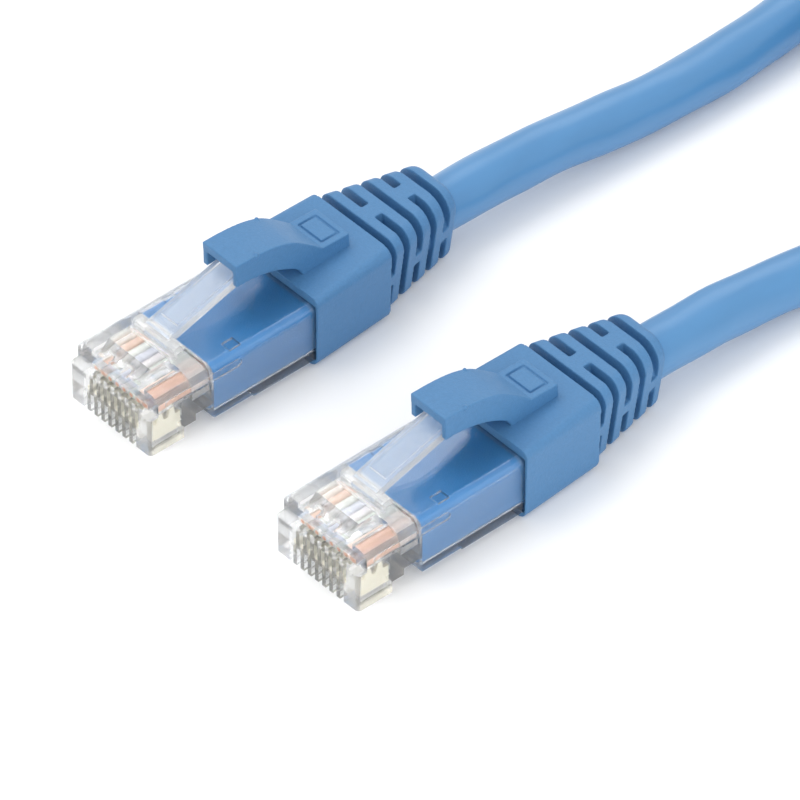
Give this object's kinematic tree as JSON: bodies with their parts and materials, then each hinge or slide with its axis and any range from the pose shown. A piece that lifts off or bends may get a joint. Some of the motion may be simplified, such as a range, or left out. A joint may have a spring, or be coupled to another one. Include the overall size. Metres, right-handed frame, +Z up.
{
  "type": "ethernet patch cable",
  "caption": "Round blue network patch cable with a clear modular plug, arched latch guard and ribbed moulded boot on each end, its spare length wound in a tied coil.",
  "frame": {"origin": "on the floor, midway between the two plugs and midway along the plugs and their boots", "axes": "+X along the plugs towards the cable, +Y across to end a, +Z up from the surface the cable lies on"},
  "size_m": [0.1559, 0.0753, 0.0146],
  "materials": {
    "clear_plastic": "clear polycarbonate, polished",
    "latch_plastic": "clear polycarbonate, polished",
    "comb_plastic": "clear polycarbonate",
    "gold_contact": "gold plated",
    "copper": "bare copper wire",
    "jacket": "blue PVC, satin",
    "boot_plastic": "blue moulded PVC, fine matte",
    "separator_plastic": "natural polyethylene",
    "tie_fabric": "black hook-and-loop tape",
    "wire_white_orange": "insulation, white with orange",
    "wire_orange": "insulation, orange",
    "wire_white_green": "insulation, white with green",
    "wire_blue": "insulation, blue",
    "wire_white_blue": "insulation, white with blue",
    "wire_green": "insulation, green",
    "wire_white_brown": "insulation, white with brown",
    "wire_brown": "insulation, brown"
  },
  "bodies": {
    "cable": {"plug_housing_a": "clear_plastic", "load_bar_a": "comb_plastic", "jacket_end_a": "jacket", "pair_separator_a": "separator_plastic", "boot_a": "boot_plastic", "conductors_a": "copper", "contact_1_a": "gold_contact", "wire_1_a": "wire_white_orange", "contact_2_a": "gold_contact", "wire_2_a": "wire_orange", "contact_3_a": "gold_contact", "wire_3_a": "wire_white_green", "contact_4_a": "gold_contact", "wire_4_a": "wire_blue", "contact_5_a": "gold_contact", "wire_5_a": "wire_white_blue", "contact_6_a": "gold_contact", "wire_6_a": "wire_green", "contact_7_a": "gold_contact", "wire_7_a": "wire_white_brown", "contact_8_a": "gold_contact", "wire_8_a": "wire_brown", "plug_housing_b": "clear_plastic", "load_bar_b": "comb_plastic", "jacket_end_b": "jacket", "pair_separator_b": "separator_plastic", "boot_b": "boot_plastic", "conductors_b": "copper", "contact_1_b": "gold_contact", "wire_1_b": "wire_white_orange", "contact_2_b": "gold_contact", "wire_2_b": "wire_orange", "contact_3_b": "gold_contact", "wire_3_b": "wire_white_green", "contact_4_b": "gold_contact", "wire_4_b": "wire_blue", "contact_5_b": "gold_contact", "wire_5_b": "wire_white_blue", "contact_6_b": "gold_contact", "wire_6_b": "wire_green", "contact_7_b": "gold_contact", "wire_7_b": "wire_white_brown", "contact_8_b": "gold_contact", "wire_8_b": "wire_brown", "cable_run_a": "jacket", "cable_run_b": "jacket", "cable_coil": "jacket", "cable_tie": "tie_fabric"},
    "latch_a": {"latch_a": "latch_plastic"},
    "hood_a": {"boot_hood_a": "boot_plastic"},
    "latch_b": {"latch_b": "latch_plastic"},
    "hood_b": {"boot_hood_b": "boot_plastic"}
  },
  "joints": [
    {"name": "hood_a_press", "type": "hinge", "parent": "cable", "child": "hood_a", "pos_m": [0.001, 0.01454, 0.01105], "axis": [0, -1, 0], "range_deg": [0, 14], "stiffness_Nm_per_rad": 0.005},
    {"name": "latch_a_press", "type": "hinge", "parent": "cable", "child": "latch_a", "pos_m": [-0.0153, 0.01454, 0.00825], "axis": [0, 1, 0], "range_deg": [0, 8.5], "stiffness_Nm_per_rad": 0.005},
    {"name": "hood_b_press", "type": "hinge", "parent": "cable", "child": "hood_b", "pos_m": [0.0015, -0.01454, 0.01105], "axis": [0, -1, 0], "range_deg": [0, 14], "stiffness_Nm_per_rad": 0.005},
    {"name": "latch_b_press", "type": "hinge", "parent": "cable", "child": "latch_b", "pos_m": [-0.0148, -0.01454, 0.00825], "axis": [0, 1, 0], "range_deg": [0, 8.5], "stiffness_Nm_per_rad": 0.005}
  ],
  "couplings": [
    {"joint": "latch_a_press", "follows": "hood_a_press", "ratio": 0.567},
    {"joint": "latch_b_press", "follows": "hood_b_press", "ratio": 0.567}
  ]
}
